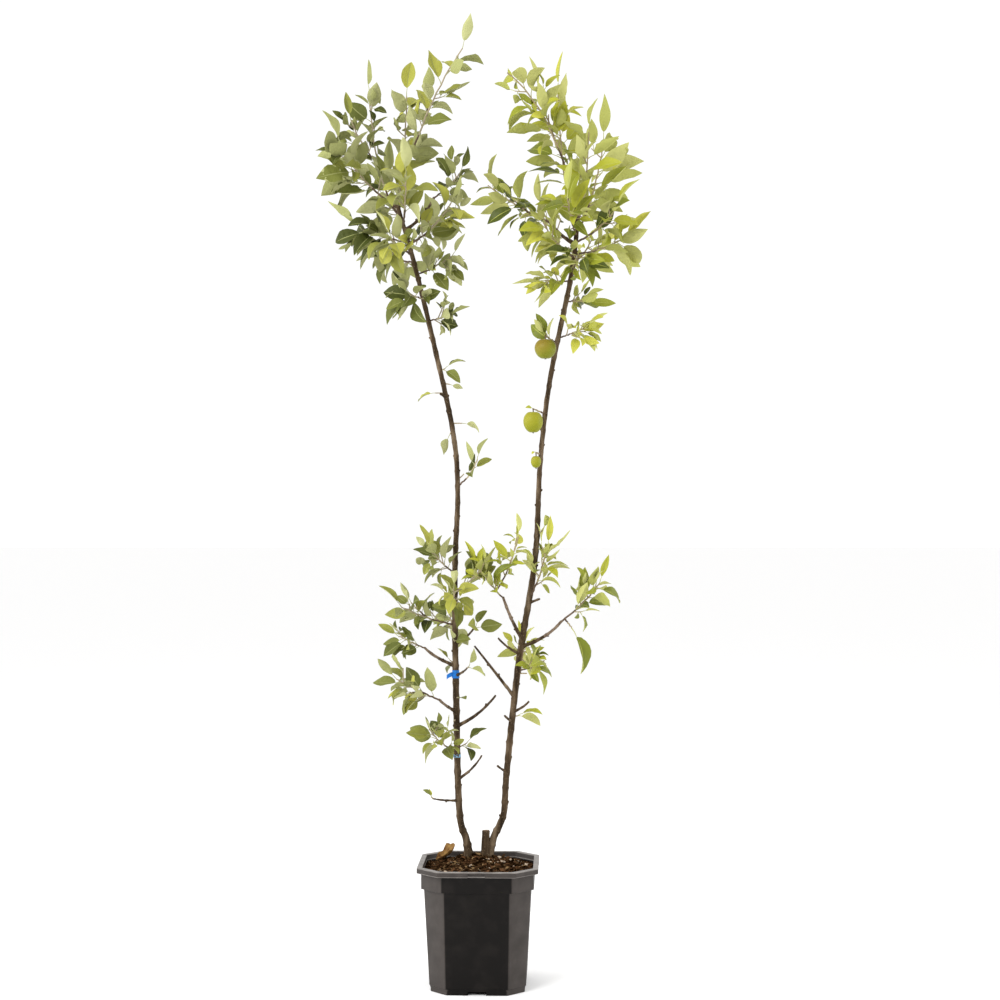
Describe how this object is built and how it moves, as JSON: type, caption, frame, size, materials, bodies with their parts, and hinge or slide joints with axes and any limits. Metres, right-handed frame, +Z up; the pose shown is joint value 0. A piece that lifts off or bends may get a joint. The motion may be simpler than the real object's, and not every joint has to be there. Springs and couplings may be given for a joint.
{
  "type": "dwarf apple tree in a pot",
  "caption": "Young two-stemmed dwarf apple tree, its slim stems trained in a narrow V with leafy heads, sparse side shoots and small apples, in a square black nursery pot of compost.",
  "frame": {"origin": "centre of the pot's underside, on the ground", "axes": "+Z up; +X to the viewer's right and -Y towards the viewer in the front view"},
  "size_m": [0.6878, 0.3844, 1.9789],
  "materials": {
    "pot": "satin black moulded polypropylene",
    "compost": "damp bark compost",
    "bark": "young grey-brown bark",
    "left_foliage": "matte olive-green leaf",
    "right_foliage": "slightly glossy yellow-green leaf"
  },
  "bodies": {
    "root": {"pot": "pot", "soil": "compost", "left_stem": "bark", "right_stem": "bark", "left_bough_high": "bark", "left_bough_low": "bark", "left_bough_lowest": "bark", "left_bough_bare": "bark", "right_bough_high": "bark", "right_bough_low": "bark", "right_bough_west": "bark", "right_bough_bare": "bark", "left_whip": "left_foliage", "left_leader": "left_foliage", "left_high_west": "left_foliage", "left_west": "left_foliage", "left_high_east": "left_foliage", "left_front": "left_foliage", "left_back": "left_foliage", "left_back_east": "left_foliage", "left_mid_east": "left_foliage", "left_mid_west": "left_foliage", "left_front_low": "left_foliage", "left_back_low": "left_foliage", "left_low_east": "left_foliage", "left_fan": "left_foliage", "left_east_spur": "left_foliage", "left_mid_shoot": "left_foliage", "left_low_top": "left_foliage", "left_low_front": "left_foliage", "left_low_back": "left_foliage", "left_low_inner": "left_foliage", "left_low_far": "left_foliage", "left_low_west": "left_foliage", "left_lowest_west": "left_foliage", "left_lowest": "left_foliage", "right_far": "right_foliage", "right_top": "right_foliage", "right_inner": "right_foliage", "right_high_east": "right_foliage", "right_front": "right_foliage", "right_back": "right_foliage", "right_back_west": "right_foliage", "right_west": "right_foliage", "right_mid_west": "right_foliage", "right_mid_east": "right_foliage", "right_low_east": "right_foliage", "right_front_low": "right_foliage", "right_back_low": "right_foliage", "right_low_west": "right_foliage", "right_east_spur": "right_foliage", "right_spur": "right_foliage", "right_apple_high": "right_foliage", "right_apple_mid": "right_foliage", "right_apple_low": "right_foliage", "right_shoot_top": "right_foliage", "right_shoot_far": "right_foliage", "right_shoot_west": "right_foliage", "right_shoot_hanging": "right_foliage", "right_shoot_back": "right_foliage"}
  },
  "joints": []
}
